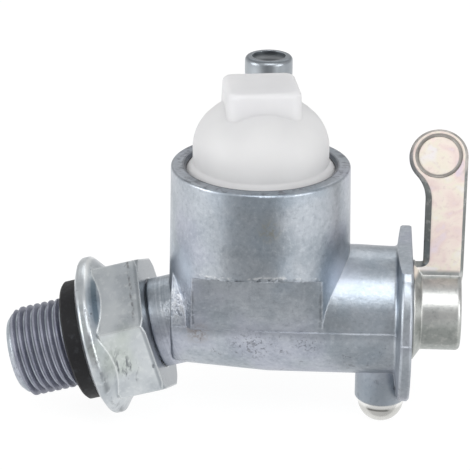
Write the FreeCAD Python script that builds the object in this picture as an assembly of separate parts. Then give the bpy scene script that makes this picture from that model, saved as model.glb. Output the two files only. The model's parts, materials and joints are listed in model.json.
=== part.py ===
import FreeCAD, Part
import math
import os

os.makedirs("parts", exist_ok=True)

V = FreeCAD.Vector

# Fuel tap with a screwed sediment bowl, an inclined threaded inlet and a quarter-turn lever valve.
# Sizes are in millimetres. While a piece is built, Z is the cup's axis, X is the valve's axis
# towards the lever, and the point where the two cross is zero. Saving moves every piece so that
# the origin lies on the inlet's axis, half way along the free thread.

# Clearances
running_gap = 0.05
thread_gap = 0.08
press_gap = 0.02
seal_gap = 0.05
seat_gap = 0.3

# Cup
cup_rim_z = 29.8
cup_rim_r = 17.35
cup_draft_deg = 1.0
cup_rim_round = 0.5
cup_bore_r = 14.42
cup_seat_z = 15.8
cup_floor_z = 13.8
cup_floor_r = 11.8
cup_mouth_bevel = 0.5
ledge_z = 10.7
ledge_slope_deg = 18.0

# Horizontal gallery that holds the valve
gallery_r = 12.6
gallery_left_x = -16.8
gallery_left_r = 11.2
gallery_taper_x = 2.0
gallery_right_r = 12.4
gallery_edge_round = 0.6
parting_step = 0.25

# Flange at the lever's end of the gallery
flange_x = 26.9
flange_thick = 2.9
flange_draft = 0.7
flange_r = 17.9
flange_flat_rise = 0.2
flange_root_round = 0.7
flange_rim_bevel = 0.4

# Inlet neck and spigot, measured along their own axis from the cup's axis
inlet_dip_deg = 15.2
inlet_cross_z = 1.1
neck_r = 8.9
neck_end = 20.9
neck_round = 0.4
spigot_r = 8.1
spigot_end = 50.2
spigot_bevel = 0.9
relief_width = 0.8
relief_depth = 0.25
inlet_bore_r = 4.5
inlet_bore_end = 9.5
riser_x = -9.4
riser_r = 1.9

# Flange nut and washer on the spigot
nut_length = 12.85
nut_across_flats = 26.0
nut_corner_deg = -68.0
nut_end_bevel = 0.9
nut_corner_drop = 0.6
nut_hex_length = 8.15
nut_flange_r = 15.85
nut_rim_thick = 1.6
nut_rim_round = 0.75
nut_mouth_bevel = 0.9
washer_thick = 3.9
washer_r = 12.0
washer_hole_r = 9.1
washer_bevel = 0.4

# Sediment bowl
bowl_skirt_drop = 0.8
bowl_shoulder = 1.4
bowl_r = 13.15
bowl_straight = 2.9
bowl_dome = 10.6
bowl_wall = 1.6
bowl_skirt_wall = 2.7
bowl_mouth_bevel = 0.5
dome_corner_share = 0.82
lug_side = 15.1
lug_taper_deg = 2.5
lug_round = 2.2
lug_top_round = 0.9
lug_rise = 2.1
lug_turn_deg = 9.0
seal_section_r = 0.95

# Filter in the bowl
filter_r = 6.6
filter_plate = 1.2
filter_height = 21.0
filter_bar = 1.2
filter_bars = 6
gauze_wall = 0.3
gauze_window = 2.6
gauze_columns = 8
gauze_rows = 3

# Valve: one port from the cup, one to the outlet
port_x = 0.4
port_r = 2.0
valve_bore_r = 7.0
sleeve_wall = 1.5
sleeve_length = 12.0
nose_bevel = 0.5
spring_gap = 1.3
spring_thick = 0.35
bore_end_room = 0.6
o_ring_section_r = 0.75
o_ring_land = 3.6
o_ring_squeeze = 0.05
o_ring_groove_room = 0.3
ring_sides = 8

# Retaining screw under the gallery, its boss, and the stop groove that it runs in
boss_behind_flange = 2.4
boss_below_flange = 1.05
boss_r = 5.2
boss_bevel = 0.5
screw_r = 2.4
screw_tip_r = 1.8
screw_tip_length = 3.2
screw_head_r = 4.55
screw_head_side = 0.5
screw_head_dome = 4.4
screw_slot_width = 1.2
screw_slot_depth = 1.5
stop_groove_depth = 2.2
lever_travel_deg = 90.0
stop_play_deg = 2.0

# Lever
collar_r = 9.8
collar_thick = 0.3
collar_cone = 1.4
hub_r = 7.8
hub_length = 7.75
hub_round = 0.9
arm_left = 1.8
arm_right = 9.7
arm_front_y = -1.0
arm_edge_depth = 0.6
arm_thick = 3.2
arm_back_draft = 1.25
pad_edge_inset = 0.7
arm_edge_inset = 1.4
pad_sag = 0.5
pad_r = 5.65
pad_height_z = 32.6
pad_blend_r = 7.0
arm_foot_left = 1.2
arm_foot_drop = 0.4
pad_groove_r = 4.55
pad_groove_width = 0.7
pad_groove_depth = 0.5

# Outlet behind the cup
hose_room = 1.4
outlet_boss_wall = 2.8
outlet_boss_top_z = 10.0
outlet_boss_bottom_z = -7.0
outlet_boss_bevel = 0.8
passage_r = 2.2
passage_wall = 4.4
passage_cover = 7.0
plug_r = 3.2
plug_thick = 1.8
plug_dish = 0.7
plug_bevel = 0.3
nipple_r = 4.2
nipple_bore_r = 3.4
nipple_bead_r = 4.8
nipple_bead_length = 3.6
nipple_bead_ramp = 1.6
nipple_end_round = 0.9
nipple_stand = 34.1
nipple_press_depth = 6.6
nipple_collar_r = 5.4
nipple_collar_thick = 1.0

# Sizes that follow from those above
cup_base_r = cup_rim_r + cup_rim_z * math.tan(math.radians(cup_draft_deg))
flange_face_x = flange_x + flange_thick
boss_x = flange_x - boss_behind_flange
boss_end_z = -(flange_r + parting_step + boss_below_flange)
nut_start = neck_end + running_gap
nut_face = nut_start + nut_length
washer_start = nut_face + seal_gap
washer_end = washer_start + washer_thick
seal_top_z = cup_seat_z + 2 * (seal_section_r + seal_gap)
bowl_skirt_r = cup_bore_r - thread_gap
bowl_skirt_top_z = cup_rim_z - bowl_skirt_drop
bowl_side_z = bowl_skirt_top_z + bowl_shoulder
bowl_dome_z = bowl_side_z + bowl_straight
bowl_top_z = bowl_dome_z + bowl_dome
lug_top_z = bowl_top_z + lug_rise
filter_top_z = cup_floor_z + filter_height
sleeve_left_x = port_x - sleeve_length / 2
sleeve_right_x = port_x + sleeve_length / 2
sleeve_r = valve_bore_r - press_gap
sleeve_bore_r = valve_bore_r - sleeve_wall
valve_bore_end_x = sleeve_left_x - seal_gap
nose_r = sleeve_bore_r - running_gap
nose_end_x = valve_bore_end_x + bore_end_room
journal_r = valve_bore_r - running_gap
journal_start_x = sleeve_right_x + spring_gap
groove_floor_r = valve_bore_r - 2 * o_ring_section_r - o_ring_squeeze - seal_gap
groove_width = 2 * o_ring_section_r + o_ring_groove_room
o_ring_x = [journal_start_x + o_ring_land, journal_start_x + 2 * o_ring_land]
stop_floor_r = journal_r - stop_groove_depth
screw_tip_z = -(stop_floor_r + seat_gap)
screw_head_height = screw_head_side + screw_head_dome
collar_x = flange_face_x + seat_gap
hub_x = collar_x + collar_thick + collar_cone
hub_end_x = hub_x + hub_length
pad_x = collar_x + arm_right - pad_r
outlet_y = cup_base_r + hose_room + nipple_bead_r
outlet_boss_r = nipple_r + outlet_boss_wall
passage_end_y = outlet_y + passage_cover
plug_y = passage_end_y - plug_thick - plug_dish
nipple_foot_z = outlet_boss_top_z - nipple_press_depth
nipple_top_z = outlet_boss_top_z + nipple_stand
over = 1.0

# Directions
x_axis = V(1, 0, 0)
y_axis = V(0, 1, 0)
z_axis = V(0, 0, 1)
dip = math.radians(inlet_dip_deg)
inlet_axis = V(-math.cos(dip), 0, -math.sin(dip))


def inlet_point(distance):
    """Point on the inlet's axis, measured outwards from the cup's axis."""
    return V(0, 0, inlet_cross_z) + inlet_axis * distance


origin = inlet_point((washer_end + spigot_end) / 2)


def outline(corners):
    """Closed wire in the XZ plane through (x, z, corner radius) points."""
    edges = []
    ends = []
    for i, (x, z, radius) in enumerate(corners):
        here = V(x, 0, z)
        before = V(corners[i - 1][0], 0, corners[i - 1][1])
        after = V(corners[(i + 1) % len(corners)][0], 0, corners[(i + 1) % len(corners)][1])
        back = (before - here).normalize()
        ahead = (after - here).normalize()
        if radius == 0:
            ends.append((here, here))
            continue
        half = back.getAngle(ahead) / 2
        cut = radius / math.tan(half)
        start = here + back * cut
        end = here + ahead * cut
        middle = here + (back + ahead).normalize() * (radius / math.sin(half) - radius)
        edges.append(Part.Arc(start, middle, end).toShape())
        ends.append((start, end))
    for i, (start, end) in enumerate(ends):
        following = ends[(i + 1) % len(ends)][0]
        if (following - end).Length > 1e-6:
            edges.append(Part.LineSegment(end, following).toShape())
    return Part.Wire(Part.__sortEdges__(edges))


def turned(corners, angle=360.0):
    """Solid of revolution about Z from (radius, height, corner radius) points."""
    return Part.Face(outline(corners)).revolve(V(0, 0, 0), z_axis, angle)


def stood(shape, base, direction):
    """Copy of a shape built along Z, stood at a base point along a direction."""
    placed = shape.copy()
    placed.Placement = FreeCAD.Placement(base, FreeCAD.Rotation(z_axis, direction))
    return placed


def rod(base, direction, radius, length):
    return Part.makeCylinder(radius, length, base, direction)


def block(low, high):
    size = high - low
    return Part.makeBox(size.x, size.y, size.z, low)


def seal_ring(ring_r, section_r):
    """Ring about Z whose section is a polygon close to the round section of the real seal."""
    corners = []
    for i in range(ring_sides):
        angle = 2 * math.pi * (i + 0.5) / ring_sides
        corners.append((ring_r + section_r * math.cos(angle), section_r * math.sin(angle), 0))
    return turned(corners)


def domed(foot_r, foot_z, shoulder_z, side_r, side_z, dome_z, dome_height):
    """Foot, shoulder cone and straight side under a dome made of a corner arc and a crown arc."""
    corner_r = dome_corner_share * dome_height
    crown_r = (side_r ** 2 + dome_height ** 2 - 2 * side_r * corner_r) / (2 * (dome_height - corner_r))
    corner_centre = V(side_r - corner_r, 0, dome_z)
    crown_centre = V(0, 0, dome_z + dome_height - crown_r)
    toward = (corner_centre - crown_centre).normalize()
    meeting = crown_centre + toward * crown_r
    top = V(0, 0, dome_z + dome_height)
    side_top = V(side_r, 0, dome_z)
    corner_middle = corner_centre + (x_axis + toward).normalize() * corner_r
    crown_middle = crown_centre + (z_axis + toward).normalize() * crown_r
    points = [top, V(0, 0, foot_z), V(foot_r, 0, foot_z)]
    if foot_r != side_r:
        points += [V(foot_r, 0, shoulder_z), V(side_r, 0, side_z)]
    if side_z != dome_z:
        points.append(side_top)
    edges = [Part.LineSegment(start, end).toShape() for start, end in zip(points, points[1:])]
    edges.append(Part.Arc(side_top, corner_middle, meeting).toShape())
    edges.append(Part.Arc(meeting, crown_middle, top).toShape())
    return Part.Face(Part.Wire(edges)).revolve(V(0, 0, 0), z_axis, 360)


# The casting


def cup_outside():
    shape = turned([
        (0, 0, 0),
        (cup_base_r, 0, 0),
        (cup_rim_r, cup_rim_z, cup_rim_round),
        (0, cup_rim_z, 0),
    ])
    reach = 2 * cup_base_r
    rise = (reach - gallery_r) * math.tan(math.radians(ledge_slope_deg))
    below = Part.makePolygon([
        V(-reach, -gallery_r, -over),
        V(-reach, -gallery_r, ledge_z),
        V(-reach, -reach, ledge_z + rise),
        V(-reach, -reach, -over),
        V(-reach, -gallery_r, -over),
    ])
    front = Part.Face(below).extrude(V(2 * reach, 0, 0))
    back = front.mirror(V(0, 0, 0), y_axis)
    return shape.cut(front).cut(back)


def gallery_half(grow, side):
    """Upper (side 1) or lower (side -1) half of the gallery and flange."""
    fillet_x = flange_x - flange_root_round
    shape = stood(turned([
        (0, gallery_left_x, 0),
        (gallery_left_r + grow, gallery_left_x, gallery_edge_round),
        (gallery_r + grow, gallery_taper_x, 0),
        (gallery_r + grow, boss_x - boss_r - grow, 0),
        (gallery_right_r + grow, fillet_x - over, 0),
        (gallery_right_r + grow, flange_x, flange_root_round),
        (flange_r + grow - flange_rim_bevel, flange_x + flange_draft, 0),
        (flange_r + grow, flange_x + flange_draft + flange_rim_bevel, 0),
        (flange_r + grow, flange_face_x - flange_rim_bevel, 0),
        (flange_r + grow - flange_rim_bevel, flange_face_x, 0),
        (0, flange_face_x, 0),
    ]), V(0, 0, 0), x_axis)
    reach = 2 * flange_r
    half_space = block(V(gallery_left_x - over, -reach, min(0, side * reach)),
                       V(flange_face_x + over, reach, max(0, side * reach)))
    return shape.common(half_space)


def gallery_outside():
    shape = gallery_half(0, 1).fuse(gallery_half(parting_step, -1))
    flat_z = gallery_r + flange_flat_rise
    above = block(V(flange_x - 2 * flange_root_round, -flange_r, flat_z),
                  V(flange_face_x + over, flange_r, flange_r + over))
    return shape.cut(above)


def inlet_outside():
    """Neck and spigot; a shallow relief parts the free thread from the length under the washer."""
    return stood(turned([
        (0, 0, 0),
        (neck_r, 0, 0),
        (neck_r, neck_end, neck_round),
        (spigot_r, neck_end, 0),
        (spigot_r, washer_end, 0),
        (spigot_r - relief_depth, washer_end, 0),
        (spigot_r - relief_depth, washer_end + relief_width, 0),
        (spigot_r, washer_end + relief_width, 0),
        (spigot_r, spigot_end - spigot_bevel, 0),
        (spigot_r - spigot_bevel, spigot_end, 0),
        (0, spigot_end, 0),
    ]), inlet_point(0), inlet_axis)


def screw_boss():
    return stood(turned([
        (0, 0, 0),
        (boss_r, 0, 0),
        (boss_r, -boss_end_z - boss_bevel, 0),
        (boss_r - boss_bevel, -boss_end_z, 0),
        (0, -boss_end_z, 0),
    ]), V(boss_x, 0, 0), -z_axis)


def outlet_boss():
    upright = turned([
        (0, outlet_boss_bottom_z, 0),
        (outlet_boss_r - outlet_boss_bevel, outlet_boss_bottom_z, 0),
        (outlet_boss_r, outlet_boss_bottom_z + outlet_boss_bevel, 0),
        (outlet_boss_r, outlet_boss_top_z - outlet_boss_bevel, 0),
        (outlet_boss_r - outlet_boss_bevel, outlet_boss_top_z, 0),
        (0, outlet_boss_top_z, 0),
    ])
    upright.translate(V(port_x, outlet_y, 0))
    arm_r = passage_r + passage_wall
    arm = stood(turned([
        (0, 0, 0),
        (arm_r, 0, 0),
        (arm_r, passage_end_y - outlet_boss_bevel, 0),
        (arm_r - outlet_boss_bevel, passage_end_y, 0),
        (0, passage_end_y, 0),
    ]), V(port_x, 0, 0), y_axis)
    return upright.fuse(arm)


def cup_hollow():
    return turned([
        (0, cup_floor_z, 0),
        (cup_floor_r, cup_floor_z, 0),
        (cup_floor_r, cup_seat_z, 0),
        (cup_bore_r, cup_seat_z, 0),
        (cup_bore_r, cup_rim_z - cup_mouth_bevel, 0),
        (cup_bore_r + cup_mouth_bevel, cup_rim_z, 0),
        (cup_bore_r + cup_mouth_bevel, cup_rim_z + over, 0),
        (0, cup_rim_z + over, 0),
    ])


def passages():
    """Everything drilled or cored out of the casting below the cup."""
    valve = rod(V(valve_bore_end_x, 0, 0), x_axis, valve_bore_r, flange_face_x + over - valve_bore_end_x)
    cup_port = rod(V(port_x, 0, 0), z_axis, port_r, cup_floor_z + over)
    inlet = rod(inlet_point(inlet_bore_end), inlet_axis, inlet_bore_r, spigot_end + over - inlet_bore_end)
    inlet_mid = inlet_point(inlet_bore_end + inlet_bore_r / 2)
    riser = rod(V(riser_x, 0, inlet_mid.z), z_axis, riser_r, cup_floor_z + over - inlet_mid.z)
    outlet = rod(V(port_x, 0, 0), y_axis, passage_r, passage_end_y)
    plug_seat = rod(V(port_x, plug_y, 0), y_axis, plug_r, passage_end_y + over - plug_y)
    nipple_seat = rod(V(port_x, outlet_y, nipple_foot_z), z_axis,
                      nipple_r + press_gap, nipple_press_depth + over)
    nipple_way = rod(V(port_x, outlet_y, 0), z_axis, passage_r, nipple_foot_z)
    screw_hole = rod(V(boss_x, 0, 0), -z_axis, screw_r + press_gap, over - boss_end_z)
    return [valve, cup_port, inlet, riser, outlet, plug_seat, nipple_seat, nipple_way, screw_hole]


def valve_body():
    shape = cup_outside()
    for piece in (gallery_outside(), inlet_outside(), screw_boss(), outlet_boss()):
        shape = shape.fuse(piece)
    shape = shape.cut(cup_hollow())
    for hole in passages():
        shape = shape.cut(hole)
    return shape.removeSplitter()


# Nut and washer on the inlet


def flange_nut():
    corner_r = nut_across_flats / 2 / math.cos(math.radians(30))
    first = math.radians(nut_corner_deg)
    points = []
    for i in range(7):
        angle = first + i * math.pi / 3
        points.append(V(corner_r * math.cos(angle), corner_r * math.sin(angle), 0))
    hexagon = Part.Face(Part.makePolygon(points)).extrude(V(0, 0, nut_hex_length + over))
    envelope = turned([
        (0, 0, 0),
        (corner_r - nut_end_bevel, 0, 0),
        (corner_r, nut_corner_drop, 0),
        (corner_r, nut_length, 0),
        (0, nut_length, 0),
    ])
    rim_start = nut_length - 2 * nut_rim_thick
    skirt = turned([
        (0, nut_hex_length - over, 0),
        (nut_across_flats / 2 - over, nut_hex_length - over, 0),
        (nut_flange_r, rim_start + nut_rim_thick / 2, nut_rim_round),
        (nut_flange_r, nut_length - nut_rim_thick / 2, nut_rim_round),
        (nut_flange_r - nut_rim_thick, nut_length, 0),
        (0, nut_length, 0),
    ])
    bore_r = spigot_r + thread_gap
    hole = turned([
        (0, -over, 0),
        (bore_r + nut_mouth_bevel + over, -over, 0),
        (bore_r, nut_mouth_bevel, 0),
        (bore_r, nut_length - nut_mouth_bevel, 0),
        (bore_r + nut_mouth_bevel + over, nut_length + over, 0),
        (0, nut_length + over, 0),
    ])
    shape = hexagon.common(envelope).fuse(skirt).cut(hole)
    return stood(shape.removeSplitter(), inlet_point(nut_start), inlet_axis)


def inlet_washer():
    shape = turned([
        (washer_hole_r, 0, 0),
        (washer_r - washer_bevel, 0, 0),
        (washer_r, washer_bevel, 0),
        (washer_r, washer_thick - washer_bevel, 0),
        (washer_r - washer_bevel, washer_thick, 0),
        (washer_hole_r, washer_thick, 0),
    ])
    return stood(shape, inlet_point(washer_start), inlet_axis)


# Bowl, its seal and its filter


def square_wire(side, z):
    half = side / 2
    wire = outline([(-half, -half, lug_round), (half, -half, lug_round),
                    (half, half, lug_round), (-half, half, lug_round)])
    wire.rotate(V(0, 0, 0), x_axis, 90)
    wire.rotate(V(0, 0, 0), z_axis, lug_turn_deg)
    wire.translate(V(0, 0, z))
    return wire


def spanner_lug():
    height = lug_top_z - bowl_dome_z
    narrowing = 2 * height * math.tan(math.radians(lug_taper_deg))
    shape = Part.makeLoft([square_wire(lug_side, bowl_dome_z),
                           square_wire(lug_side - narrowing, lug_top_z)], True, True)
    top_edges = [edge for edge in shape.Edges if edge.BoundBox.ZMin > lug_top_z - 1e-4]
    return shape.makeFillet(lug_top_round, top_edges)


def sediment_bowl():
    outside = domed(bowl_skirt_r, seal_top_z, bowl_skirt_top_z, bowl_r, bowl_side_z, bowl_dome_z, bowl_dome)
    inner_r = bowl_skirt_r - bowl_skirt_wall
    inside = domed(inner_r, seal_top_z - over, bowl_side_z, inner_r, seal_top_z,
                   bowl_dome_z, bowl_dome - bowl_wall)
    mouth = turned([
        (0, seal_top_z - over, 0),
        (inner_r + bowl_mouth_bevel + over, seal_top_z - over, 0),
        (inner_r, seal_top_z + bowl_mouth_bevel, 0),
        (0, seal_top_z + bowl_mouth_bevel, 0),
    ])
    return outside.fuse(spanner_lug()).cut(inside).cut(mouth).removeSplitter()


def bowl_seal():
    ring_r = cup_bore_r - seal_section_r - seal_gap
    shape = seal_ring(ring_r, seal_section_r)
    shape.translate(V(0, 0, cup_seat_z + seal_gap + seal_section_r))
    return shape


def filter_cage():
    """Moulded cage: foot plate with a hole, bars, and a closed top plate."""
    foot = turned([
        (port_r + port_x, cup_floor_z, 0),
        (filter_r, cup_floor_z, 0),
        (filter_r, cup_floor_z + filter_plate, 0),
        (port_r + port_x, cup_floor_z + filter_plate, 0),
    ])
    top = turned([
        (0, filter_top_z - filter_plate, 0),
        (filter_r, filter_top_z - filter_plate, 0),
        (filter_r, filter_top_z, filter_plate / 2),
        (0, filter_top_z, 0),
    ])
    shape = foot.fuse(top)
    bar_out = filter_r - gauze_wall - seal_gap
    bar_in = bar_out - filter_bar
    for i in range(filter_bars):
        bar = block(V(bar_in, -filter_bar / 2, cup_floor_z + filter_plate / 2),
                    V(bar_out - seal_gap, filter_bar / 2, filter_top_z - filter_plate / 2))
        bar.rotate(V(0, 0, 0), z_axis, i * 360 / filter_bars)
        shape = shape.fuse(bar)
    return shape.removeSplitter()


def filter_gauze():
    """Thin sleeve between the cage's plates, pierced by rows of windows."""
    low_z = cup_floor_z + filter_plate
    high_z = filter_top_z - filter_plate
    shape = turned([
        (filter_r - gauze_wall, low_z, 0),
        (filter_r, low_z, 0),
        (filter_r, high_z, 0),
        (filter_r - gauze_wall, high_z, 0),
    ])
    row_step = (high_z - low_z) / gauze_rows
    tall = row_step - gauze_window
    for row in range(gauze_rows):
        window_z = low_z + row * row_step + gauze_window / 2
        for column in range(gauze_columns):
            window = block(V(filter_r / 2, -gauze_window / 2, window_z),
                           V(filter_r + over, gauze_window / 2, window_z + tall))
            window.rotate(V(0, 0, 0), z_axis, (column + 0.5) * 360 / gauze_columns)
            shape = shape.cut(window)
    return shape


# Valve


def valve_sleeve():
    shape = stood(turned([
        (sleeve_bore_r, sleeve_left_x, 0),
        (sleeve_r, sleeve_left_x, 0),
        (sleeve_r, sleeve_right_x, 0),
        (sleeve_bore_r, sleeve_right_x, 0),
    ]), V(0, 0, 0), x_axis)
    for direction in (z_axis, y_axis):
        shape = shape.cut(rod(V(port_x, 0, 0), direction, port_r, 2 * sleeve_r))
    return shape


def spindle_o_ring(x):
    ring_r = groove_floor_r + seal_gap + o_ring_section_r
    return stood(seal_ring(ring_r, o_ring_section_r), V(x, 0, 0), x_axis)


def spindle_spring_washer():
    """Dished ring that fills the space between the sleeve and the spindle's step."""
    inner_r = nose_r + running_gap
    outer_r = journal_r - running_gap
    left_x = sleeve_right_x + seal_gap
    right_x = journal_start_x - seal_gap
    return stood(turned([
        (inner_r, left_x, 0),
        (outer_r, right_x - spring_thick, 0),
        (outer_r, right_x, 0),
        (inner_r, left_x + spring_thick, 0),
    ]), V(0, 0, 0), x_axis)


def retaining_screw():
    head_z = boss_end_z
    head = domed(screw_head_r, 0, 0, screw_head_r, 0, screw_head_side, screw_head_dome)
    slot = block(V(-2 * screw_head_r, -screw_slot_width / 2, screw_head_height - screw_slot_depth),
                 V(2 * screw_head_r, screw_slot_width / 2, screw_head_height + over))
    head = head.cut(slot)
    shank_end = head_z - screw_tip_z
    shank = turned([
        (0, shank_end, 0),
        (screw_tip_r, shank_end, 0),
        (screw_tip_r, shank_end + screw_tip_length, 0),
        (screw_r, shank_end + screw_tip_length, 0),
        (screw_r, over, 0),
        (0, over, 0),
    ])
    return stood(head.fuse(shank).removeSplitter(), V(boss_x, 0, head_z), -z_axis)


# Lever with its spindle, cast in one piece


def lever_outline(y, inset, left_inset, pad_z):
    """Arm and finger pad seen along Y, drawn in by an inset; the arm's left side has its own."""
    radius = pad_r - inset
    blend = pad_blend_r + inset
    left_x = collar_x + arm_left + left_inset
    blend_x = left_x - blend
    drop = math.sqrt((radius + blend) ** 2 - (pad_x - blend_x) ** 2)
    blend_centre = V(blend_x, y, pad_z - drop)
    pad_centre = V(pad_x, y, pad_z)
    toward = (blend_centre - pad_centre).normalize()
    meeting = pad_centre + toward * radius
    blend_end = V(left_x, y, blend_centre.z)
    blend_mid = blend_centre + (x_axis - toward).normalize() * blend
    pad_right = V(pad_x + radius, y, pad_z)
    pad_far = pad_centre + (V(-1, 0, 1)).normalize() * radius
    hub_top_right = V(pad_x + radius, y, hub_r)
    foot_right = V(hub_end_x - hub_round, y, 0)
    foot_top = collar_r - arm_foot_drop
    foot_blend = left_x - collar_x - arm_foot_left
    foot_centre = V(left_x - foot_blend, y, foot_top + foot_blend)
    side_end = V(left_x, y, foot_centre.z)
    foot_mid = foot_centre + V(1, 0, -1).normalize() * foot_blend
    foot_low = V(foot_centre.x, y, foot_top)
    foot_top_left = V(collar_x, y, foot_top)
    foot_left = V(collar_x, y, 0)
    edges = [
        Part.LineSegment(foot_right, hub_top_right).toShape(),
        Part.LineSegment(hub_top_right, pad_right).toShape(),
        Part.Arc(pad_right, pad_far, meeting).toShape(),
        Part.Arc(meeting, blend_mid, blend_end).toShape(),
        Part.LineSegment(blend_end, side_end).toShape(),
        Part.Arc(side_end, foot_mid, foot_low).toShape(),
        Part.LineSegment(foot_low, foot_top_left).toShape(),
        Part.LineSegment(foot_top_left, foot_left).toShape(),
        Part.LineSegment(foot_left, foot_right).toShape(),
    ]
    return Part.Wire(edges)


def lever_arm():
    """Upright front face with a bevelled edge; behind the bevel the sides draw in."""
    face = lever_outline(arm_front_y, pad_edge_inset, arm_edge_inset, pad_height_z)
    widest = lever_outline(arm_front_y + arm_edge_depth, 0, 0, pad_height_z - pad_sag)
    back = lever_outline(arm_front_y + arm_thick, arm_back_draft, arm_back_draft, pad_height_z - pad_sag)
    shape = Part.makeLoft([face, widest], True, True).fuse(Part.makeLoft([widest, back], True, True))
    groove = Part.makeCylinder(pad_groove_r, pad_groove_depth + over,
                               V(pad_x, arm_front_y - over, pad_height_z), y_axis)
    island = Part.makeCylinder(pad_groove_r - pad_groove_width, pad_groove_depth + over,
                               V(pad_x, arm_front_y - over, pad_height_z), y_axis)
    return shape.cut(groove.cut(island))


def hub_and_spindle():
    corners = [
        (0, nose_end_x, 0),
        (nose_r - nose_bevel, nose_end_x, 0),
        (nose_r, nose_end_x + nose_bevel, 0),
        (nose_r, journal_start_x, 0),
        (journal_r, journal_start_x, 0),
    ]
    for x in o_ring_x:
        corners += [
            (journal_r, x - groove_width / 2, 0),
            (groove_floor_r, x - groove_width / 2, 0),
            (groove_floor_r, x + groove_width / 2, 0),
            (journal_r, x + groove_width / 2, 0),
        ]
    corners += [
        (journal_r, collar_x, 0),
        (collar_r, collar_x, 0),
        (collar_r, collar_x + collar_thick, 0),
        (hub_r, hub_x, 0),
        (hub_r, hub_end_x, hub_round),
        (0, hub_end_x, 0),
    ]
    return stood(turned(corners), V(0, 0, 0), x_axis)


def stop_groove():
    """Part-turn groove round the journal in which the screw's tip runs."""
    half_width = screw_tip_r + seat_gap
    tip_half_deg = math.degrees(math.asin((screw_tip_r + seat_gap) / stop_floor_r))
    sweep = lever_travel_deg + 2 * (tip_half_deg + stop_play_deg)
    section = Part.makePolygon([
        V(boss_x - half_width, 0, -stop_floor_r),
        V(boss_x + half_width, 0, -stop_floor_r),
        V(boss_x + half_width, 0, -journal_r - over),
        V(boss_x - half_width, 0, -journal_r - over),
        V(boss_x - half_width, 0, -stop_floor_r),
    ])
    shape = Part.Face(section).revolve(V(0, 0, 0), -x_axis, sweep)
    shape.rotate(V(0, 0, 0), x_axis, tip_half_deg + stop_play_deg)
    return shape


def lever():
    shape = hub_and_spindle().fuse(lever_arm())
    shape = shape.cut(stop_groove())
    for direction in (z_axis, y_axis):
        shape = shape.cut(rod(V(port_x, 0, 0), direction, port_r, 2 * nose_r))
    return shape.removeSplitter()


# Outlet


def outlet_nipple():
    bead_start = nipple_top_z - nipple_bead_length
    shape = turned([
        (nipple_bore_r, nipple_foot_z, 0),
        (nipple_r, nipple_foot_z, 0),
        (nipple_r, outlet_boss_top_z, 0),
        (nipple_collar_r, outlet_boss_top_z, 0),
        (nipple_collar_r, outlet_boss_top_z + nipple_collar_thick, 0),
        (nipple_r, outlet_boss_top_z + nipple_collar_thick, 0),
        (nipple_r, bead_start - nipple_bead_ramp, 0),
        (nipple_bead_r, bead_start, 0),
        (nipple_bead_r, nipple_top_z, nipple_end_round),
        (nipple_bore_r, nipple_top_z, 0),
    ])
    shape.translate(V(port_x, outlet_y, 0))
    return shape


def passage_plug():
    """Dished plug pressed into the open end of the outlet passage."""
    shape = turned([
        (0, 0, 0),
        (plug_r - press_gap, 0, 0),
        (plug_r - press_gap, plug_thick - plug_bevel, 0),
        (plug_r - press_gap - plug_bevel, plug_thick, 0),
        (plug_dish, plug_thick - plug_dish, 0),
        (0, plug_thick - plug_dish, 0),
    ])
    return stood(shape, V(port_x, plug_y, 0), y_axis)


pieces = {
    "valve_body": valve_body(),
    "flange_nut": flange_nut(),
    "inlet_washer": inlet_washer(),
    "sediment_bowl": sediment_bowl(),
    "bowl_seal": bowl_seal(),
    "filter_cage": filter_cage(),
    "filter_gauze": filter_gauze(),
    "valve_sleeve": valve_sleeve(),
    "inner_spindle_seal": spindle_o_ring(o_ring_x[0]),
    "outer_spindle_seal": spindle_o_ring(o_ring_x[1]),
    "spindle_spring_washer": spindle_spring_washer(),
    "retaining_screw": retaining_screw(),
    "lever": lever(),
    "outlet_nipple": outlet_nipple(),
    "passage_plug": passage_plug(),
}

for name, shape in pieces.items():
    shape.translate(-origin)
    shape.exportStep("parts/" + name + ".step")
    box = shape.BoundBox
    print(name, len(shape.Solids), round(shape.Volume, 1), shape.isValid(),
          [round(v, 2) for v in (box.XMin, box.YMin, box.ZMin, box.XMax, box.YMax, box.ZMax)])
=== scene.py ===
import json
import math

import bmesh
import bpy
from mathutils import Matrix, Vector


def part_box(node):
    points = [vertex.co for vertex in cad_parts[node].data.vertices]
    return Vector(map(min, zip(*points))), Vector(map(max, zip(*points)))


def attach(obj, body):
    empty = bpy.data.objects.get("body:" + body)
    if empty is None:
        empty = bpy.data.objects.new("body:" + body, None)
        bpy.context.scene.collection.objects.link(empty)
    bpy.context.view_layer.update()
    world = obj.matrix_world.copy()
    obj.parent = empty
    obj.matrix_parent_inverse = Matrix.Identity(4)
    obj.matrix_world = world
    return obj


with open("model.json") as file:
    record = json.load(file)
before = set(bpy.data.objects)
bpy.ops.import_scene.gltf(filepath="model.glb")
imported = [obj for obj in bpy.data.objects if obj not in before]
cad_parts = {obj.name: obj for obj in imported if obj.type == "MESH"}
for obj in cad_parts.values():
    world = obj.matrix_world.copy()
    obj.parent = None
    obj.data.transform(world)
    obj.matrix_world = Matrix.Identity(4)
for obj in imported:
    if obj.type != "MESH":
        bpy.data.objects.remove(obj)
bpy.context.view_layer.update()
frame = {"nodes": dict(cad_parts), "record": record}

# Fuel tap with its bowl upwards: the plated casting, the milky sediment bowl, the outlet pipe, the
# flange nut on the inlet thread, and the lever. Lengths are in metres, written in millimetres.
mm = 0.001

bowl_low, bowl_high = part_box("sediment_bowl")
sleeve_low, sleeve_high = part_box("valve_sleeve")
pipe_low, pipe_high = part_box("outlet_nipple")
screw_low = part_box("retaining_screw")[0]

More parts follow.
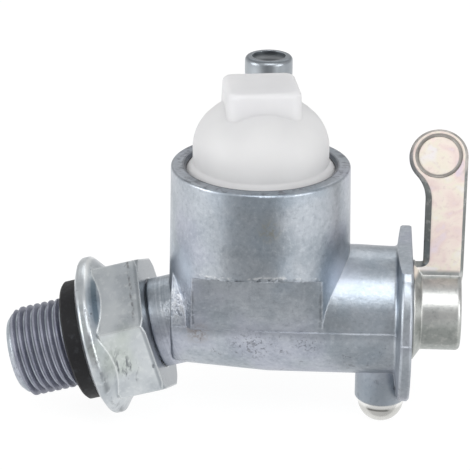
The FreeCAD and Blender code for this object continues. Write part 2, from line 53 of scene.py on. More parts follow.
# The cup's axis meets the valve's axis here. Marks on the surfaces are placed from this point.
valve_centre = Vector(((bowl_low.x + bowl_high.x) / 2, 0, (sleeve_low.z + sleeve_high.z) / 2))
to_right = Vector((1, 0, 0))
to_back = Vector((0, 1, 0))
upwards = Vector((0, 0, 1))
inlet_dip = math.radians(15.2)
inlet_way = Vector((-math.cos(inlet_dip), 0, -math.sin(inlet_dip)))


def patch(x, y, z, reach):
    """Middle and reach of a mark, in millimetres from the valve centre."""
    return valve_centre + Vector((x, y, z)) * mm, reach * mm


# Casting: the flat under the cup, the ragged ledge over it, the painted shade along its sides and the
# lower half
flat_front = -12.6 * mm
flat_half_width = 12.3 * mm
ledge_height = 10.7 * mm
ledge_slope = 0.325
ledge_shadow_height = ledge_height + 1.15 * mm
ledge_glints_height = ledge_height + 1.75 * mm
flat_side_shade_offset = flat_half_width + 0.6 * mm
parting_height = 0.7 * mm
gallery_start = 17.5 * mm
pitted_below = 1.5 * mm
fully_pitted_below = -3.0 * mm

# Casting: the cup's rim, and the neck as measured outwards along the inlet
cup_height = 29.8 * mm
cup_mouth_r = 14.92 * mm
neck_start = 15.8 * mm
neck_end = 20.9 * mm

# Casting: patches of wear, pits, tint and a brownish mark, and patches of painted shadow, highlight and
# light
ledge_shadow_patch = patch(-2.6, -17.3, 12.4, 10.0)
facet_highlight_patch = patch(-15.6, -9.0, 4.0, 6.0)
scuffed_patch = patch(2.4, -17.2, 22.6, 3.4)
left_flank_light_patch = patch(-15.2, -9.3, 10.6, 7.0)
right_flank_light_patch = patch(15.8, -8.0, 11.1, 7.0)
brownish_patch = patch(-11.4, -11.8, -0.9, 4.0)
pitted_patch = patch(-0.7, -12.3, -2.6, 6.5)
pitted_patch_right = patch(9.7, -12.7, -1.6, 4.5)
boss_patch = patch(22.5, -4.5, -16.0, 9.0)

# Nut, measured outwards along the inlet
nut_end = 20.95 * mm
nut_mouth_r = 9.95 * mm
nut_mouth_end = 22.4 * mm
nut_streak_at = 23.0 * mm
flange_cone_start = 29.1 * mm
flange_cone_end = 30.3 * mm
flange_glow_at = 30.8 * mm
flange_root_at = 31.7 * mm
nicked_patch = patch(-25.6, -12.8, -8.0, 6.0)
cone_patch = patch(-31.5, -8.6, 3.8, 8.0)

# Lever, outlet pipe and screw
lever_face_y = -1.0 * mm
arm_foot_height = 8.2 * mm
pad_patch = patch(34.4, -1.0, 32.6, 6.6)
pad_bottom_height = 28.6 * mm
pipe_axis = Vector(((pipe_low.x + pipe_high.x) / 2, (pipe_low.y + pipe_high.y) / 2, 0))
pipe_top = pipe_high.z - valve_centre.z
pipe_bore_r = 3.4 * mm
screw_dash_height = -20.3 * mm
screw_dash_patch = patch(23.9, -4.6, -20.3, 3.2)

# Inlet thread, measured outwards from the frame's origin along the inlet
thread_start = -22.3 * mm
thread_end = 6.2 * mm
thread_pitch = 1.5 * mm
thread_root_r = 8.0 * mm
thread_crest_r = 9.0 * mm
thread_half_root = 0.66 * mm
thread_half_crest = 0.17 * mm
thread_end_bevel = 1.9 * mm
thread_steps_per_turn = 56


# Shader building


def tone(red, green, blue):
    """Screen colour from 0 to 255, as the linear colour that a shader takes."""
    linear = []
    for value in (red, green, blue):
        share = value / 255
        linear.append(share / 12.92 if share <= 0.04045 else ((share + 0.055) / 1.055) ** 2.4)
    return (*linear, 1.0)


class Value:
    """A shader output that adds a Math node for each operator that is used on it."""

    def __init__(self, nodes, socket):
        self.nodes = nodes
        self.socket = socket

    def math(self, operation, first, second=0.0):
        return self.nodes.node("ShaderNodeMath", {"operation": operation}, {0: first, 1: second})

    def __add__(self, other):
        return self.math("ADD", self, other)

    def __radd__(self, other):
        return self.math("ADD", other, self)

    def __sub__(self, other):
        return self.math("SUBTRACT", self, other)

    def __rsub__(self, other):
        return self.math("SUBTRACT", other, self)

    def __mul__(self, other):
        return self.math("MULTIPLY", self, other)

    def __rmul__(self, other):
        return self.math("MULTIPLY", other, self)

    def __abs__(self):
        return self.math("ABSOLUTE", self)

    def or_more(self, other):
        """The larger of two values."""
        return self.math("MAXIMUM", self, other)


class Nodes:
    """Shader nodes of a material or of the world, round the shader that it comes with."""

    def __init__(self, owner, shader):
        owner.use_nodes = True
        self.tree = owner.node_tree
        self.shader = self.tree.nodes[shader]

    def node(self, kind, settings=None, sockets=None, output=0):
        """New node: settings first, then values or links for its sockets. Gives one of its outputs."""
        made = self.tree.nodes.new(kind)
        for name, value in (settings or {}).items():
            if name == "stops":
                self.set_stops(made.color_ramp, value)
            else:
                setattr(made, name, value)
        for name, value in (sockets or {}).items():
            self.feed(made.inputs[name], value)
        return Value(self, made.outputs[output])

    def set_stops(self, ramp, stops):
        """Gives a colour ramp its stops, each a position and a colour."""
        while len(ramp.elements) < len(stops):
            ramp.elements.new(1.0)
        for element, (position, colour) in zip(ramp.elements, stops):
            element.position = position
            element.color = colour

    def feed(self, socket, value):
        """Links a Value to a socket, or sets the socket to a plain number or colour."""
        if isinstance(value, Value):
            self.tree.links.new(value.socket, socket)
        else:
            socket.default_value = value

    def surface(self, **sockets):
        """Sets the main shader's sockets; words in a name are joined by underscores."""
        for name, value in sockets.items():
            self.feed(self.shader.inputs[name.replace("_", " ")], value)

    def seen(self):
        """1 for camera rays."""
        return self.node("ShaderNodeLightPath", output="Is Camera Ray")

    def mirrored(self):
        """1 for glossy and transmission rays, with which metal shows its surround."""
        glossy = self.node("ShaderNodeLightPath", output="Is Glossy Ray")
        return glossy.or_more(self.node("ShaderNodeLightPath", output="Is Transmission Ray"))


class Finish(Nodes):
    """A material under construction, patterned in its piece's object coordinates."""

    def __init__(self, name):
        self.material = bpy.data.materials.new(name)
        super().__init__(self.material, "Principled BSDF")
        self.place = self.node("ShaderNodeTexCoord", output="Object")

    # Patterns

    def noise(self, scale, detail=3.0, rough=0.5, distortion=0.0, place=None):
        """Cloudy pattern; scale is in features per metre."""
        return self.node("ShaderNodeTexNoise", sockets={
            "Vector": place or self.place, "Scale": scale, "Detail": detail,
            "Roughness": rough, "Distortion": distortion})

    def streaks(self, across, upright, detail, rough=0.5, distortion=0.0):
        """Cloudy pattern with different numbers of features per metre across and upright."""
        stretched = self.node("ShaderNodeMapping", sockets={
            "Vector": self.place, "Scale": (across, across, upright)})
        return self.noise(1.0, detail, rough, distortion, stretched)

    def turning_marks(self, value, scale):
        """Fine rings: a noise of a value alone; scale is in features per metre."""
        return self.node("ShaderNodeTexNoise", {"noise_dimensions": "1D"},
                         {"W": value, "Scale": scale, "Detail": 2.0})

    def cells(self, scale):
        """Distance from the nearest of many scattered points; scale is in points per metre."""
        return self.node("ShaderNodeTexVoronoi", sockets={"Vector": self.place, "Scale": scale})

    # Distances of a surface point

    def vectors(self, operation, first, second=(0, 0, 0), output=0):
        """Vector Math node; output is "Value" where its result is a number."""
        return self.node("ShaderNodeVectorMath", {"operation": operation}, {0: first, 1: second}, output)

    def along(self, direction):
        """From the valve centre along a direction."""
        moved = self.vectors("SUBTRACT", self.place, valve_centre)
        return self.vectors("DOT_PRODUCT", moved, direction, "Value")

    def from_inlet_axis(self):
        """From the inlet's axis."""
        moved = self.vectors("SUBTRACT", self.place, valve_centre)
        across = self.vectors("CROSS_PRODUCT", moved, inlet_way)
        return self.vectors("LENGTH", across, output="Value")

    def from_upright_axis(self, point):
        """From the upright axis through a point."""
        moved = self.vectors("SUBTRACT", self.place, point)
        level = self.vectors("MULTIPLY", moved, (1, 1, 0))
        return self.vectors("LENGTH", level, output="Value")

    # Masks

    def step(self, value, low, high):
        """0 below low, 1 above high, smooth between; the two may be given the other way round."""
        return self.node("ShaderNodeMapRange", {"interpolation_type": "SMOOTHSTEP"},
                         {"Value": value, "From Min": low, "From Max": high})

    def near(self, mark):
        """1 at the middle of a patch, falling to 0 at its reach."""
        middle, reach = mark
        return self.step(self.vectors("DISTANCE", self.place, middle, "Value"), reach, 0.0)

    def near_level(self, value, level, half_width):
        """1 where a value meets a level, falling to 0 at the half width."""
        return self.step(abs(value - level), half_width, 0.0)

    def edge_highlight_mask(self, radius):
        """1 along sharp edges, where the rounded normal departs from the flat one."""
        flat = self.node("ShaderNodeNewGeometry", output="Normal")
        shared = self.vectors("DOT_PRODUCT", flat, self.rounded(radius), "Value")
        return self.step(shared, 0.992, 0.93)

    def clamped(self, value):
        """A value held between 0 and 1."""
        return self.node("ShaderNodeClamp", sockets={"Value": value})

    # Colour and relief

    def mix(self, share, first, second):
        """Colour that goes from the first to the second as the share goes from 0 to 1."""
        return self.node("ShaderNodeMix", {"data_type": "RGBA"}, {0: share, 6: first, 7: second}, 2)

    def coats(self, base, layers):
        """Base colour under coats laid on in turn, each a share and a colour."""
        for share, colour in layers:
            base = self.mix(share, base, colour)
        return base

    def rounded(self, radius):
        """Normal that rounds the edges by a radius."""
        return self.node("ShaderNodeBevel", {"samples": 6}, {"Radius": radius})

    def relief(self, height, depth, edge_round=0.0):
        """Bumps of a depth in metres, over edges rounded by a radius."""
        sockets = {"Strength": 1.0, "Distance": depth, "Height": height}
        if edge_round:
            sockets["Normal"] = self.rounded(edge_round)
        self.surface(Normal=self.node("ShaderNodeBump", sockets=sockets))


# Finishes


def plated_casting():
    """Blue-grey zinc plate on a die casting: satin, mottled, rough and pitted in its lower half."""
    finish = Finish("plated_casting")
    height = finish.along(upwards)
    depth = finish.along(to_back)
    offset = finish.along(to_right)
    outwards = finish.along(inlet_way)

    cloud = finish.noise(95, 4.0, 0.6)
    drift = finish.noise(60, 2.0)
    mottle = finish.noise(1150, 4.0, 0.7)
    grain = finish.noise(2600, 3.0, 0.65)
    orange_peel = finish.noise(480, 2.0, 0.5)
    wave = 2.0 * mm * finish.noise(260, 3.0, 0.6)
    broken = finish.step(finish.noise(330, 3.0, 0.7), 0.40, 0.56)

    # Pits of the lower half, a scuff, a darker brownish patch, and patches of painted highlight and
    # light
    lower = finish.step(height, pitted_below, fully_pitted_below)
    pit_field = finish.noise(620, 3.0, 0.7, 0.6)
    scattered = finish.step(pit_field, 0.60, 0.70) * finish.step(finish.noise(140, 2.0), 0.42, 0.6)
    spots = finish.step(finish.noise(1900, 2.0, 0.5), 0.55, 0.66)
    pitted = finish.near(pitted_patch) + finish.near(pitted_patch_right)
    pits = finish.clamped(scattered + 1.6 * spots * pitted)
    # A darker brownish patch low on the casting
    brownish_mark = finish.near(brownish_patch) * finish.step(mottle, 0.38, 0.6)
    scuff = finish.near(scuffed_patch) * finish.step(mottle, 0.42, 0.62)
    # Painted highlight on the rounded facet at the gallery's left end
    facet_highlight = finish.near(facet_highlight_patch) * finish.step(mottle, 0.4, 0.6)
    # Painted light: the cup's flanks by the gallery paler and less metallic
    flank_light = finish.clamped(finish.near(left_flank_light_patch) + finish.near(right_flank_light_patch))

    # Ragged ledge over the flat: a painted shadow under the ledge, painted glints along its edge, and
    # painted shade along the flat's sides
    edge = height + ledge_slope * (depth - flat_front) + wave
    overhang = finish.step(depth, flat_front - 0.2 * mm, flat_front - 1.0 * mm)
    # Painted shadow: the dark lip under the ledge, deepest near its middle
    ledge_shadow = finish.near_level(edge, ledge_shadow_height, 0.65 * mm) * overhang * broken
    ledge_shadow = ledge_shadow * (0.45 + 0.55 * finish.step(finish.near(ledge_shadow_patch), 0.1, 0.6))
    # Painted highlight: bright glints along the ledge's lower edge
    ledge_glints = finish.near_level(edge, ledge_glints_height, 0.45 * mm) * overhang
    ledge_glints = ledge_glints * finish.step(finish.noise(410, 3.0, 0.7), 0.50, 0.60)
    # Painted shade: dark broken lines along the flat's side edges
    flat_side_shade = finish.near_level(abs(offset) + 0.6 * wave, flat_side_shade_offset, 0.55 * mm) * broken
    flat_side_shade = flat_side_shade * finish.step(depth, flat_front + 1.1 * mm, flat_front + 0.4 * mm)
    flat_side_shade = flat_side_shade * finish.step(height, 0.0, 1.0 * mm)
    flat_side_shade = flat_side_shade * finish.step(height, ledge_height - 0.3 * mm, ledge_height - 1.3 * mm)
    # Painted shade: a darker, rougher band along the parting line, damping its highlight
    parting = finish.near_level(height + wave, parting_height, 1.6 * mm)

    # Rim of the cup, with painted shade in the mouth round the bowl
    rim = finish.step(height, cup_height - 0.25 * mm, cup_height - 0.05 * mm)
    smudge = rim * finish.step(finish.noise(420, 3.0, 0.7), 0.5, 0.62)
    from_cup_axis = finish.from_upright_axis(valve_centre)
    mouth_painted_light = finish.step(from_cup_axis, cup_mouth_r + 0.5 * mm, cup_mouth_r)
    mouth_painted_light = mouth_painted_light * finish.step(height, cup_height - 4.0 * mm, cup_height - 2.0 * mm)

    # Neck, with turning marks, and the gap inside the nut's mouth painted pale to lift its shade
    neck = finish.step(outwards, neck_start, neck_start + 0.8 * mm)
    neck = neck * finish.step(outwards, neck_end + 3.1 * mm, neck_end + 1.1 * mm)
    turned = finish.turning_marks(outwards, 2400)
    neck_gap_light = finish.step(outwards, neck_end - 0.1 * mm, neck_end)
    neck_gap_light = neck_gap_light * finish.step(outwards, nut_mouth_end, nut_mouth_end - 0.4 * mm)

    # Painted highlight along sharp edges, apart from the parting line under the cup
    inboard = finish.step(offset, gallery_start, gallery_start - 1.5 * mm)
    under_cup = inboard * finish.near_level(height, 0.0, 1.2 * mm)
    edge_highlight = finish.edge_highlight_mask(0.3 * mm) * (1.0 - under_cup)

    plate = finish.mix(finish.step(cloud, 0.36, 0.64), tone(158, 166, 174), tone(180, 186, 193))
    base = finish.coats(plate, [
        (neck * finish.step(turned, 0.5, 0.62) * 0.24, tone(206, 212, 220)),
        (neck * finish.step(turned, 0.5, 0.38) * 0.24, tone(128, 138, 150)),
        (finish.step(drift, 0.5, 0.66) * 0.3, tone(180, 180, 200)),
        (finish.step(drift, 0.46, 0.34) * 0.4, tone(162, 176, 190)),
        (finish.step(mottle, 0.5, 0.68) * 0.32, tone(206, 211, 216)),
        (finish.step(mottle, 0.48, 0.32) * 0.32, tone(126, 133, 142)),
        (finish.near(boss_patch) * 0.6, tone(118, 130, 142)),
        (flank_light * 0.65, tone(204, 212, 226)),
        (scuff * 0.6, tone(140, 136, 116)),
        (facet_highlight * 0.7, tone(224, 227, 231)),
        (lower * pits * 0.5, tone(98, 100, 106)),
        (parting * 0.3, tone(122, 126, 134)),
        (brownish_mark * 0.7, tone(122, 112, 106)),
        (rim * 0.25 + smudge * 0.45, tone(96, 98, 104)),
        (mouth_painted_light * 0.7, tone(70, 72, 78)),
        (flat_side_shade * 0.55, tone(88, 92, 98)),
        (ledge_glints * 0.7, tone(226, 228, 230)),
        (edge_highlight * 0.3, tone(224, 228, 234)),
        (ledge_shadow * 0.9, tone(62, 66, 72)),
        (neck_gap_light * 0.8, tone(214, 220, 226)),
    ])
    rough = 0.24 + 0.12 * grain + 0.06 * lower + 0.06 * cloud + 0.15 * parting
    bumps = (0.4 * grain + 0.5 * mottle + 1.2 * orange_peel + 1.5 * facet_highlight
             + lower * (0.9 * pit_field - 1.3 * pits) - 1.4 * ledge_shadow - flat_side_shade)
    finish.surface(Base_Color=base, Metallic=1.0 - 0.42 * flank_light, Roughness=rough)
    finish.relief(bumps, 0.055 * mm, 0.4 * mm)
    return finish.material


def thread_zinc():
    """Violet-grey plate of the cut thread, with a fine pale grain."""
    finish = Finish("thread_zinc")
    streak = finish.noise(260, 3.0, 0.6)
    grain = finish.noise(2400, 3.0, 0.65)
    plate = finish.mix(finish.step(streak, 0.35, 0.65), tone(126, 129, 144), tone(148, 151, 164))
    base = finish.mix(finish.step(grain, 0.52, 0.66) * 0.35, plate, tone(178, 180, 190))
    finish.surface(Base_Color=base, Metallic=0.66, Roughness=0.38 + 0.16 * grain)
    finish.relief(grain, 0.02 * mm, 0.25 * mm)
    return finish.material


def bright_zinc():
    """Bright plate of the nut with a faint yellow-green bloom, dark nicks and a fine satin grain."""
    finish = Finish("bright_zinc")
    height = finish.along(upwards)
    outwards = finish.along(inlet_way)

    bloom = finish.noise(130, 3.0, 0.55)
    tint = finish.noise(85, 2.0)
    grain = finish.noise(2200, 3.0, 0.65)
    mottle = finish.noise(900, 3.0, 0.6)
    wave = 1.2 * mm * finish.noise(240, 3.0, 0.6)

    # Nicks in the hexagon's faces, and a dark streak along the edge of the upper face
    scratches = finish.streaks(900.0, 300.0, 3.0, 0.6, 0.4)
    scattered = finish.step(finish.noise(150, 2.0), 0.5, 0.62) * finish.step(scratches, 0.63, 0.7)
    nicks = scattered + 0.8 * finish.near(nicked_patch) * finish.step(scratches, 0.53, 0.62)
    nicks = finish.clamped(nicks)
    streak = finish.near_level(outwards + wave, nut_streak_at, 0.45 * mm)
    streak = streak * finish.step(height, 1.0 * mm, 2.5 * mm)
    streak = streak * finish.step(finish.noise(420, 3.0, 0.7), 0.4, 0.55)

    # Painted shade on the end face towards the cup, and painted light on the bevelled mouth that shows
    # past the neck, lifting its shade
    end_face_shade = finish.step(outwards, nut_end + 0.75 * mm, nut_end + 0.25 * mm)
    mouth_painted_light = finish.step(finish.from_inlet_axis(), nut_mouth_r + 0.1 * mm, nut_mouth_r)
    mouth_painted_light = mouth_painted_light * finish.step(outwards, nut_mouth_end, nut_mouth_end - 0.4 * mm)
    mouth_painted_light = mouth_painted_light * finish.step(outwards, nut_end + 0.03 * mm, nut_end + 0.11 * mm)

    # Coned flange: painted shade towards the front, a painted highlight near its edge, and painted shade
    # in the hexagon's root
    cone = finish.step(outwards, flange_cone_start, flange_cone_start + 0.25 * mm)
    cone = cone * finish.step(outwards, flange_cone_end, flange_cone_end - 0.4 * mm)
    cone = cone * finish.step(finish.near(cone_patch), 0.05, 0.5)
    glow = finish.near_level(outwards, flange_glow_at, 0.5 * mm)
    glow = glow * finish.step(height, -1.0 * mm, 1.5 * mm)
    root_shade = finish.near_level(outwards + wave, flange_root_at, 0.9 * mm)
    root_shade = root_shade * finish.step(height, 3.0 * mm, 0.0)
    root_shade = root_shade * finish.step(finish.noise(380, 3.0, 0.65), 0.42, 0.58)

    plate = finish.mix(finish.step(bloom, 0.36, 0.64), tone(174, 180, 185), tone(202, 207, 210))
    base = finish.coats(plate, [
        (finish.step(tint, 0.55, 0.7) * 0.3, tone(196, 206, 186)),
        (finish.step(tint, 0.44, 0.3) * 0.35, tone(176, 182, 190)),
        (finish.step(mottle, 0.5, 0.68) * 0.3, tone(222, 225, 226)),
        (end_face_shade * 0.75, tone(138, 144, 150)),
        (cone * 0.75, tone(108, 124, 134)),
        (glow * 0.7, tone(240, 243, 243)),
        (root_shade * 0.65, tone(104, 108, 112)),
        (streak * 0.65, tone(100, 98, 100)),
        (nicks * 0.75, tone(96, 100, 106)),
        # Painted highlight along the nut's sharp edges
        (finish.edge_highlight_mask(0.6 * mm) * 0.75, tone(232, 236, 236)),
        (mouth_painted_light * 0.8, tone(214, 220, 226)),
    ])
    finish.surface(Base_Color=base, Metallic=1.0 - 0.6 * mouth_painted_light,
                   Roughness=0.2 + 0.12 * grain + 0.08 * bloom)
    finish.relief(0.5 * grain + 0.6 * mottle - 0.8 * nicks - 0.8 * streak, 0.028 * mm, 0.45 * mm)
    return finish.material


def lever_chromate():
    """Pearly polished face of the lever in pale pink, straw, green and lilac; greyer sides and hub, with
    painted shade on the arm's sides, the lower hub, the arm's foot and the pad's rim, and painted light
    in the pad's groove and along the edges.
    """
    finish = Finish("lever_chromate")
    height = finish.along(upwards)
    depth = finish.along(to_back)

    cloud = finish.noise(120, 3.0, 0.6)
    shimmer = finish.noise(210, 2.0, 0.55, 0.5)
    mottle = finish.noise(1000, 3.0, 0.65)
    grain = finish.noise(2400, 3.0, 0.6)

    front = finish.step(depth, lever_face_y + 0.10 * mm, lever_face_y + 0.04 * mm)
    arm = finish.step(height, arm_foot_height, arm_foot_height + 1.0 * mm)
    face = front * arm
    # Painted shade on the pad's rim, and painted light in the groove round the pad
    pad_rim_shade = finish.step(finish.near(pad_patch), 0.13, 0.07)
    pad_rim_shade = pad_rim_shade * finish.step(height, pad_bottom_height, pad_bottom_height + 1.5 * mm)
    groove = finish.step(depth, lever_face_y + 1.0 * mm, lever_face_y + 0.8 * mm) * (1.0 - front)
    groove_light = groove * finish.step(finish.near(pad_patch), 0.0, 0.06)
    # Hub, with painted shade on its lower part and at the arm's foot
    hub = finish.step(height, arm_foot_height + 0.4 * mm, arm_foot_height - 0.6 * mm)
    low_hub_shade = hub * finish.step(height, 2.2 * mm, -1.0 * mm)
    before_face = finish.step(depth, lever_face_y, lever_face_y - 1.0 * mm)
    foot_shade = before_face * finish.near_level(height, arm_foot_height, 1.7 * mm)

    pearl = finish.node("ShaderNodeValToRGB", {"stops": [
        (0.28, tone(250, 244, 242)),
        (0.40, tone(250, 242, 226)),
        (0.50, tone(252, 238, 228)),
        (0.60, tone(246, 226, 220)),
        (0.74, tone(240, 226, 238)),
    ]}, {0: shimmer})
    pearl = finish.coats(pearl, [
        (finish.step(mottle, 0.5, 0.7) * 0.4, tone(226, 206, 202)),
        (pad_rim_shade * 0.5, tone(176, 170, 164)),
    ])
    plate = finish.mix(finish.step(cloud, 0.35, 0.65), tone(150, 155, 156), tone(184, 187, 186))
    # Sides, with painted shade on the arm's sides
    sides = finish.coats(plate, [
        (arm * 0.6, tone(108, 110, 108)),
        (hub * 0.6, tone(200, 200, 198)),
        (foot_shade * 0.5, tone(118, 120, 120)),
        (low_hub_shade * 0.6, tone(140, 147, 142)),
        (groove_light * 0.6, tone(214, 206, 200)),
        (finish.step(mottle, 0.5, 0.68) * 0.4, tone(206, 206, 202)),
        (finish.step(mottle, 0.46, 0.34) * 0.3, tone(122, 128, 126)),
    ])
    # Painted highlight along the sharp edges of the sides
    edge_highlight = finish.edge_highlight_mask(0.25 * mm) * (1.0 - face)
    base = finish.coats(sides, [(face, pearl), (edge_highlight * 0.4, tone(230, 230, 226))])
    finish.surface(Base_Color=base, Metallic=1.0 - face,
                   Roughness=0.22 + 0.12 * grain + 0.08 * cloud + 0.12 * face)
    finish.relief(0.5 * grain + 0.8 * mottle, 0.03 * mm, 0.45 * mm)
    return finish.material


def milky_plastic():
    """Translucent white moulding of the bowl, faintly cloudy, with a fine satin skin."""
    finish = Finish("milky_plastic")
    cloud = finish.noise(75, 2.0)
    skin = finish.noise(900, 2.0)
    base = finish.mix(finish.step(cloud, 0.3, 0.7), tone(228, 228, 230), tone(237, 237, 238))
    finish.surface(Base_Color=base, Roughness=0.42 + 0.1 * skin, Subsurface_Weight=1.0,
                   Subsurface_Radius=(1.0, 1.0, 1.0), Subsurface_Scale=3.2 * mm, IOR=1.49)
    finish.relief(skin, 0.008 * mm, 0.5 * mm)
    return finish.material


def black_rubber():
    """Moulded rubber of the inlet washer: near black, matt, a little dusty."""
    finish = Finish("black_rubber")
    dust = finish.noise(500, 4.0, 0.7)
    grain = finish.noise(2600, 2.0)
    base = finish.mix(finish.step(dust, 0.5, 0.75), tone(22, 22, 25), tone(50, 52, 56))
    finish.surface(Base_Color=base, Roughness=0.46 + 0.2 * grain, Specular_IOR_Level=0.3)
    finish.relief(0.6 * grain + dust, 0.02 * mm)
    return finish.material


def seal_rubber():
    """Smooth oiled rubber of the seals."""
    finish = Finish("seal_rubber")
    grain = finish.noise(2200, 2.0)
    base = finish.mix(finish.noise(300), tone(22, 22, 24), tone(40, 40, 43))
    finish.surface(Base_Color=base, Roughness=0.3 + 0.16 * grain)
    finish.relief(grain, 0.008 * mm)
    return finish.material


def dark_zinc():
    """Greyer drawn tube of the outlet, with fine rings, a dark end and a band of painted light in its
    bore.
    """
    finish = Finish("dark_zinc")
    rings = finish.streaks(120.0, 1400.0, 2.0)
    cloud = finish.noise(220, 3.0)
    below_top = pipe_top - finish.along(upwards)
    from_pipe_axis = finish.from_upright_axis(pipe_axis)
    bore = finish.step(from_pipe_axis, pipe_bore_r + 0.15 * mm, pipe_bore_r + 0.05 * mm)
    # Painted light on the bore's wall near its top
    bore_light = bore * finish.near_level(below_top, 1.5 * mm, 1.0 * mm)
    end = finish.step(below_top, 0.45 * mm, 0.1 * mm) * (1.0 - bore)
    plate = finish.mix(finish.step(cloud, 0.35, 0.65), tone(154, 160, 166), tone(170, 176, 181))
    base = finish.coats(plate, [
        (end * 0.6, tone(96, 102, 108)),
        (bore_light * 0.8, tone(226, 229, 232)),
    ])
    finish.surface(Base_Color=base, Metallic=1.0 - 0.6 * bore_light, Roughness=0.26 + 0.16 * cloud)
    finish.relief(rings, 0.012 * mm, 0.2 * mm)
    return finish.material


def bright_nickel():
    """Polished nickel of the screw and the plug, with a painted highlight band on the screw crossed by a
    painted dark dash.
    """
    finish = Finish("bright_nickel")
    fine = finish.noise(1600, 2.0)
    cloud = finish.noise(240, 2.0)
    height = finish.along(upwards)
    # Painted shade: a dark dash across the screw's head, under a painted highlight band
    dash_shade = finish.near_level(height, screw_dash_height, 0.42 * mm)
    dash_shade = dash_shade * finish.step(finish.near(screw_dash_patch), 0.05, 0.4)
    sheen_highlight = finish.near_level(height, screw_dash_height + 0.75 * mm, 0.9 * mm)
    base = finish.coats(finish.mix(cloud, tone(196, 196, 192), tone(222, 221, 218)), [
        (sheen_highlight * 0.8, tone(248, 248, 246)),
        (dash_shade * 0.8, tone(84, 84, 80)),
    ])
    finish.surface(Base_Color=base, Metallic=1.0, Roughness=0.2 + 0.12 * fine)
    finish.relief(fine, 0.006 * mm, 0.15 * mm)
    return finish.material


def filter_plastic():
    """White nylon of the strainer's cage."""
    finish = Finish("filter_plastic")
    grain = finish.noise(1400, 2.0)
    base = finish.mix(finish.noise(160), tone(214, 212, 204), tone(232, 231, 225))
    finish.surface(Base_Color=base, Roughness=0.4 + 0.15 * grain)
    finish.relief(grain, 0.01 * mm)
    return finish.material


def gauze():
    """Woven strainer of fine buff threads."""
    finish = Finish("gauze")
    weave = finish.cells(2800)
    base = finish.mix(finish.step(weave, 0.2, 0.6), tone(206, 200, 178), tone(150, 146, 130))
    finish.surface(Base_Color=base, Roughness=0.45 + 0.2 * weave)
    finish.relief(1.0 - weave, 0.05 * mm)
    return finish.material


def spring_steel():
    """Blued spring steel with rolling lines."""
    finish = Finish("spring_steel")
    lines = finish.noise(800, 3.0)
    base = finish.mix(lines, tone(120, 124, 134), tone(160, 164, 172))
    finish.surface(Base_Color=base, Metallic=1.0, Roughness=0.25 + 0.15 * lines)
    finish.relief(lines, 0.006 * mm)
    return finish.material


finishes = {
    "plated_casting": plated_casting(),
    "bright_zinc": bright_zinc(),
    "black_rubber": black_rubber(),
    "milky_plastic": milky_plastic(),
    "lever_chromate": lever_chromate(),
    "dark_zinc": dark_zinc(),
    "bright_nickel": bright_nickel(),
    "filter_plastic": filter_plastic(),
    "gauze": gauze(),
    "seal_rubber": seal_rubber(),
    "spring_steel": spring_steel(),
}

for part in frame["record"]["subparts"]:
    for slot in frame["nodes"][part["node"]].material_slots:
        slot.material = finishes[part["material_slot"]]


# The one piece added to the frame


def standing_object(name, shape, material):
    """Object in the scene made from a bmesh, which is freed."""
    mesh = bpy.data.meshes.new(name)
    shape.to_mesh(mesh)
    shape.free()
    mesh.materials.append(material)
    made = bpy.data.objects.new(name, mesh)
    bpy.context.scene.collection.objects.link(made)
    return made


def inlet_thread():
    """Helical ridge on the spigot: one V section turned and advanced round the inlet."""
    shape = bmesh.new()
    section = [
        shape.verts.new((thread_root_r, 0, thread_start - thread_half_root)),
        shape.verts.new((thread_crest_r, 0, thread_start - thread_half_crest)),
        shape.verts.new((thread_crest_r, 0, thread_start + thread_half_crest)),
        shape.verts.new((thread_root_r, 0, thread_start + thread_half_root)),
    ]
    loop = [shape.edges.new((section[i - 1], section[i])) for i in range(4)]
    turns = (thread_end - thread_start - thread_half_root) / thread_pitch
    steps = round(turns * thread_steps_per_turn)
    bmesh.ops.spin(shape, geom=section + loop, cent=(0, 0, 0), axis=(0, 0, 1),
                   dvec=(0, 0, turns * thread_pitch / steps), angle=turns * 2 * math.pi, steps=steps)
    ends = [edge for edge in shape.edges if edge.is_boundary]
    bmesh.ops.holes_fill(shape, edges=ends, sides=4)

    # The ridge is turned down to a cone at the spigot's end
    bevel_start = thread_end - thread_end_bevel
    for vertex in shape.verts:
        allowed = thread_crest_r - max(0.0, vertex.co.z - bevel_start)
        share = min(1.0, allowed / math.hypot(vertex.co.x, vertex.co.y))
        vertex.co.x *= share
        vertex.co.y *= share
    turn = upwards.rotation_difference(inlet_way).to_matrix().to_4x4()
    bmesh.ops.transform(shape, matrix=turn, verts=shape.verts)
    bmesh.ops.recalc_face_normals(shape, faces=shape.faces)

    piece = standing_object("inlet_thread", shape, thread_zinc())
    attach(piece, "tap_body")


inlet_thread()


# Studio

# Lamps: azimuth and elevation in degrees, distance, width and height in metres, level
softboxes = {
    "front_box": (10, 55, 0.75, 0.5, 0.5, 2.4),
    "left_box": (-72, 14, 0.6, 0.32, 0.36, 3.5),
    "right_box": (56, 14, 0.6, 0.26, 0.36, 3.3),
    "back_box": (175, 45, 0.9, 0.9, 0.4, 0.9),
}
surround_level = 0.38
surround_in_metal = 0.64
floor_reach = 1.6
paper_glow = 1.12
paper_glow_share = 0.82

# Cards: grey, then corners as x from the valve centre, y, and height over the floor, in metres
reflection_cards = {
    "front_card": (180, [(-0.048, -0.056, 0.001), (0.033, -0.067, 0.001),
                         (0.132, -0.269, 0.114), (-0.193, -0.230, 0.114)]),
    "boss_card": (208, [(0.015, -0.004, 0.0005), (0.048, -0.004, 0.0005),
                        (0.048, -0.060, 0.0005), (0.015, -0.060, 0.0005)]),
}
card_mottle = 5

# Camera, at the place that the photograph was taken from
camera_azimuth = 3.081
camera_elevation = 21.933
camera_roll = math.radians(0.324)
camera_distance = 435.42 * mm
aim_right = 4.829 * mm
aim_up = -13.857 * mm
lens_mm = 168.5
sensor_mm = 36


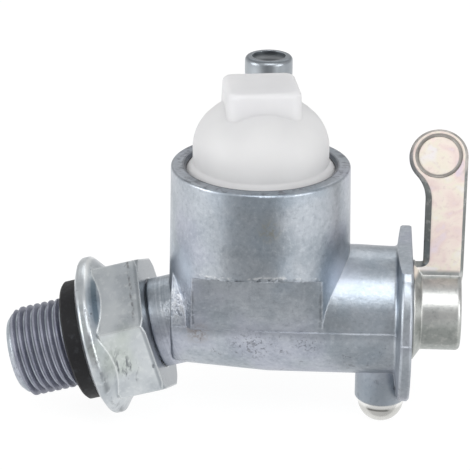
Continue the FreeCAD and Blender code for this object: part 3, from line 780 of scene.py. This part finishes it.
def direction(azimuth, elevation):
    """Unit vector towards a place; azimuth 0 is the front and turns towards the lever."""
    turn, rise = math.radians(azimuth), math.radians(elevation)
    return Vector((math.sin(turn) * math.cos(rise), -math.cos(turn) * math.cos(rise), math.sin(rise)))


def softbox(name, azimuth, elevation, distance, width, height, level):
    """Rectangular lamp that faces the tap; level 1 looks as bright as white paper in full light."""
    lamp = bpy.data.lights.new(name, "AREA")
    lamp.shape = "RECTANGLE"
    lamp.size = width
    lamp.size_y = height
    lamp.energy = level * math.pi * width * height
    stand = bpy.data.objects.new(name, lamp)
    stand.location = valve_centre + direction(azimuth, elevation) * distance
    stand.rotation_euler = direction(azimuth, elevation).to_track_quat("Z", "Y").to_euler()
    bpy.context.scene.collection.objects.link(stand)


def studio_light():
    """Plain surround: grey for the light on the tap, paler in the metal, white for the camera."""
    world = bpy.data.worlds.new("studio")
    bpy.context.scene.world = world
    surround = Nodes(world, "Background")
    level = surround_level + (surround_in_metal - surround_level) * surround.mirrored()
    surround.surface(Color=(1, 1, 1, 1), Strength=level.or_more(surround.seen()))


def stage_plane(name, corners, material):
    """Flat four-cornered sheet that belongs to the studio, not to the tap."""
    shape = bmesh.new()
    shape.faces.new([shape.verts.new(corner) for corner in corners])
    plane = standing_object(name, shape, material)
    return plane


def studio_paper():
    """Matt white paper; it shows nearly white, with the tap's soft shadow kept."""
    finish = Finish("studio_paper")
    paper = finish.mix(finish.noise(400, 3.0), tone(236, 236, 236), tone(240, 240, 240))
    finish.surface(Base_Color=paper, Roughness=0.9)
    glow = finish.node("ShaderNodeEmission", sockets={"Color": (1, 1, 1, 1), "Strength": paper_glow})
    lit = Value(finish, finish.shader.outputs[0])
    share = finish.seen().or_more(finish.mirrored()) * paper_glow_share
    both = finish.node("ShaderNodeMixShader", sockets={0: share, 1: lit, 2: glow})
    finish.feed(finish.tree.nodes["Material Output"].inputs["Surface"], both)
    return finish.material


def studio_floor():
    """Paper floor, level with the lowest point of the screw."""
    low = screw_low.z
    corners = [(-floor_reach, -floor_reach, low), (floor_reach, -floor_reach, low),
               (floor_reach, floor_reach, low), (-floor_reach, floor_reach, low)]
    stage_plane("studio_floor", corners, studio_paper())


def studio_card(grey):
    """Grey card that stands in for the darker sides of the room, seen only in the metal."""
    finish = Finish("studio_card")
    pale = grey + card_mottle
    card = finish.mix(finish.noise(300, 2.0), tone(grey, grey, grey), tone(pale, pale, pale))
    finish.surface(Base_Color=(0, 0, 0, 1), Roughness=0.9, Emission_Color=card, Emission_Strength=1.0)
    return finish.material


def reflection_card(name, grey, corners):
    """Card over the floor that only mirrored rays see, so it gives no shadow and no soft light."""
    over_floor = [(valve_centre.x + x, y, screw_low.z + height) for x, y, height in corners]
    card = stage_plane(name, over_floor, studio_card(grey))
    card.visible_camera = False
    card.visible_shadow = False
    card.visible_diffuse = False


def photo_camera():
    """Camera at the photograph's place, with its aim and roll."""
    lens = bpy.data.cameras.new("photo_camera")
    lens.sensor_width = sensor_mm
    lens.lens = lens_mm
    back = direction(camera_azimuth, camera_elevation)
    side = direction(camera_azimuth + 90, 0)
    top = back.cross(side)
    right = side * math.cos(camera_roll) + top * math.sin(camera_roll)
    up = back.cross(right)
    camera = bpy.data.objects.new("photo_camera", lens)
    turn = Matrix((right, up, back)).transposed().to_4x4()
    place = valve_centre - right * aim_right - up * aim_up + back * camera_distance
    camera.matrix_world = Matrix.Translation(place) @ turn
    bpy.context.scene.collection.objects.link(camera)
    bpy.context.scene.camera = camera


for lamp_name, setting in softboxes.items():
    softbox(lamp_name, *setting)
studio_light()
studio_floor()
for card_name, (card_grey, card_corners) in reflection_cards.items():
    reflection_card(card_name, card_grey, card_corners)
photo_camera()
bpy.context.scene.view_settings.view_transform = "Standard"
